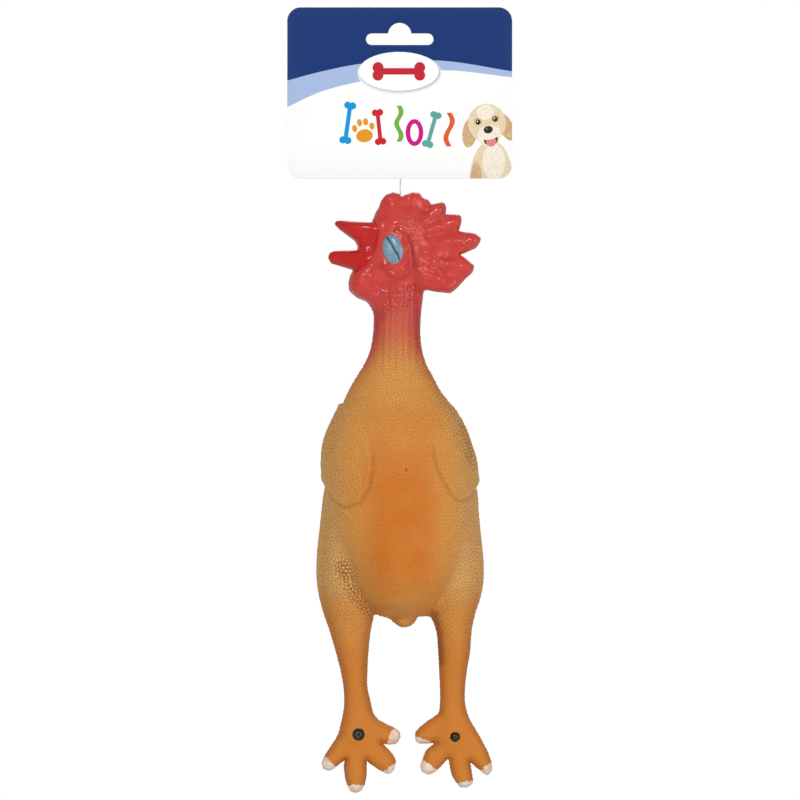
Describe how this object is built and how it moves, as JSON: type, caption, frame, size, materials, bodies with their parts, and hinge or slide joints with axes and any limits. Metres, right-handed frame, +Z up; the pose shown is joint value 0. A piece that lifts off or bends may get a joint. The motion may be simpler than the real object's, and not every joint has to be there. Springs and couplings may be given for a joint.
{
  "type": "rubber chicken",
  "caption": "Hollow latex squeeze chicken with open beak, scaled skin and four-toed feet, hanging by a nylon pin from a two-ply header card with a hang slot.",
  "frame": {"origin": "top of the header card's hang slot, in the middle of the card's thickness, where a peg carries the toy", "axes": "+Z up along the hanging toy, -Y out of the belly and the card's printed face, +X to the chicken's own left"},
  "size_m": [0.1068, 0.0627, 0.3723],
  "materials": {
    "card_front": "coated paperboard, printed blue and white, satin",
    "card_back": "uncoated paperboard, matte",
    "nylon": "translucent nylon",
    "red_latex": "red painted latex, glossy, mottled",
    "beak_latex": "deep red painted latex, glossy",
    "orange_latex": "airbrushed orange latex, satin, scaled",
    "belly_latex": "airbrushed deep orange latex, satin",
    "leg_latex": "orange latex, satin",
    "foot_latex": "orange latex with white painted claws",
    "grey_plastic": "moulded polyethylene",
    "clear_plastic": "thin clear film",
    "dark_plastic": "black moulded plastic"
  },
  "bodies": {
    "header_card": {"card_front_ply": "card_front", "card_back_ply": "card_back", "tag_paddle": "nylon"},
    "tag_pin": {"tag_filament": "nylon"},
    "head": {"head": "red_latex", "jaw_web": "beak_latex", "neck_top_flex": "red_latex", "tag_t_bar": "nylon"},
    "jaw": {"lower_beak": "beak_latex"},
    "neck_upper": {"neck_upper": "orange_latex", "neck_mid_flex": "orange_latex"},
    "neck_lower": {"neck_lower": "orange_latex", "neck_base_flex": "orange_latex"},
    "torso": {"torso": "orange_latex", "right_hip_flex": "leg_latex", "left_hip_flex": "leg_latex"},
    "belly": {"belly_panel": "belly_latex"},
    "right_thigh": {"right_thigh": "leg_latex", "right_knee_flex": "leg_latex"},
    "right_shank": {"right_shank": "leg_latex", "right_ankle_flex": "foot_latex"},
    "left_thigh": {"left_thigh": "leg_latex", "left_knee_flex": "leg_latex"},
    "left_shank": {"left_shank": "leg_latex", "left_ankle_flex": "foot_latex"},
    "right_foot": {"right_foot": "foot_latex", "squeaker_barrel": "grey_plastic", "squeaker_cap": "grey_plastic", "squeaker_reed_plate": "grey_plastic"},
    "left_foot": {"left_foot": "foot_latex", "stopper_plug": "dark_plastic"},
    "reed": {"squeaker_reed": "clear_plastic"}
  },
  "joints": [
    {"name": "pin_swing", "type": "hinge", "parent": "header_card", "child": "tag_pin", "pos_m": [0.0003, 0, -0.0738], "axis": [1, 0, 0], "range_deg": [-60, 60]},
    {"name": "pin_twist", "type": "hinge", "parent": "tag_pin", "child": "head", "pos_m": [0.0003, 0, -0.0827], "axis": [0, 0, 1], "range_deg": [-90, 90], "stiffness_Nm_per_rad": 0.003},
    {"name": "jaw_open", "type": "hinge", "parent": "head", "child": "jaw", "pos_m": [-0.0194, 0, -0.1072], "axis": [0, 1, 0], "range_deg": [-12, 25], "stiffness_Nm_per_rad": 0.003, "deforming": ["jaw_web"]},
    {"name": "neck_top_bend", "type": "hinge", "parent": "head", "child": "neck_upper", "pos_m": [-0.0013, 0, -0.138], "axis": [1, 0, 0], "range_deg": [-35, 35], "stiffness_Nm_per_rad": 0.5, "deforming": ["neck_top_flex"]},
    {"name": "neck_mid_bend", "type": "hinge", "parent": "neck_upper", "child": "neck_lower", "pos_m": [-0.0017, 0, -0.153], "axis": [0, 1, 0], "range_deg": [-30, 30], "stiffness_Nm_per_rad": 0.5, "deforming": ["neck_mid_flex"]},
    {"name": "neck_base_bend", "type": "hinge", "parent": "neck_lower", "child": "torso", "pos_m": [-0.002, -0.001, -0.1665], "axis": [1, 0, 0], "range_deg": [-28, 28], "stiffness_Nm_per_rad": 0.6, "deforming": ["neck_base_flex"]},
    {"name": "belly_squeeze", "type": "slide", "parent": "torso", "child": "belly", "axis": [0, 1, 0], "range_m": [0, 0.012], "stiffness_N_per_m": 400},
    {"name": "right_hip_bend", "type": "hinge", "parent": "torso", "child": "right_thigh", "pos_m": [-0.0233, 0, -0.288], "axis": [1, 0, 0], "range_deg": [-35, 35], "stiffness_Nm_per_rad": 0.2, "deforming": ["right_hip_flex"]},
    {"name": "right_knee_bend", "type": "hinge", "parent": "right_thigh", "child": "right_shank", "pos_m": [-0.0224, 0, -0.3035], "axis": [0, 1, 0], "range_deg": [-5, 30], "stiffness_Nm_per_rad": 0.12, "deforming": ["right_knee_flex"]},
    {"name": "right_ankle_bend", "type": "hinge", "parent": "right_shank", "child": "right_foot", "pos_m": [-0.0207, 0, -0.3205], "axis": [1, 0, 0], "range_deg": [-40, 40], "stiffness_Nm_per_rad": 0.08, "deforming": ["right_ankle_flex"]},
    {"name": "left_hip_bend", "type": "hinge", "parent": "torso", "child": "left_thigh", "pos_m": [0.0251, 0, -0.288], "axis": [1, 0, 0], "range_deg": [-35, 35], "stiffness_Nm_per_rad": 0.2, "deforming": ["left_hip_flex"]},
    {"name": "left_knee_bend", "type": "hinge", "parent": "left_thigh", "child": "left_shank", "pos_m": [0.0256, 0, -0.3035], "axis": [0, -1, 0], "range_deg": [-5, 30], "stiffness_Nm_per_rad": 0.12, "deforming": ["left_knee_flex"]},
    {"name": "left_ankle_bend", "type": "hinge", "parent": "left_shank", "child": "left_foot", "pos_m": [0.0251, 0, -0.3205], "axis": [1, 0, 0], "range_deg": [-40, 40], "stiffness_Nm_per_rad": 0.08, "deforming": ["left_ankle_flex"]},
    {"name": "reed_flutter", "type": "hinge", "parent": "right_foot", "child": "reed", "pos_m": [-0.0195, 0.00007, -0.3355], "axis": [1, 0, 0], "range_deg": [-4, 4], "stiffness_Nm_per_rad": 0.00001}
  ]
}
